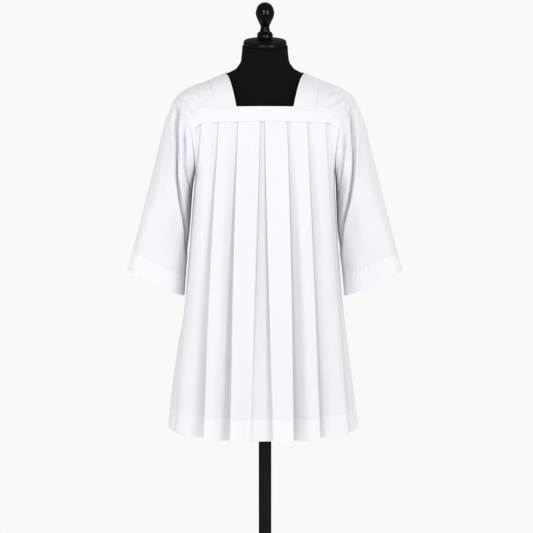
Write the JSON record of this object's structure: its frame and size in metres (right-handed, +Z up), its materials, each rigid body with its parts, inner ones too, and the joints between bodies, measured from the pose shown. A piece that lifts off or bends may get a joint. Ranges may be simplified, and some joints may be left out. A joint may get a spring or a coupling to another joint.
{
  "type": "surplice on a limbless dress form with a pole stand",
  "caption": "White pleated surplice with a square neck and wide sleeves, hung on a black limbless dress form with a turned finial, a pole and a round base.",
  "frame": {"origin": "on the floor under the middle of the stand's base", "axes": "+Z up along the pole, -Y towards the garment's front, +X towards the wearer's left"},
  "size_m": [0.698, 0.3675, 1.6517],
  "materials": {
    "surplice_cloth": "plain fine white weave, matte",
    "form_cover": "black cloth cover, matte",
    "cap_paint": "satin black",
    "finial_lacquer": "gloss black lacquer",
    "stand_paint": "satin black"
  },
  "bodies": {
    "root": {"front_panel": "surplice_cloth", "back_panel": "surplice_cloth", "front_band": "surplice_cloth", "back_band": "surplice_cloth", "strap_left": "surplice_cloth", "strap_right": "surplice_cloth", "shoulder_left": "surplice_cloth", "shoulder_right": "surplice_cloth", "sleeve_left": "surplice_cloth", "sleeve_right": "surplice_cloth", "form_torso": "form_cover", "neck_cap": "cap_paint", "finial": "finial_lacquer", "form_socket": "stand_paint", "pole": "stand_paint", "pole_collar": "stand_paint", "base_disc": "stand_paint"}
  },
  "joints": []
}
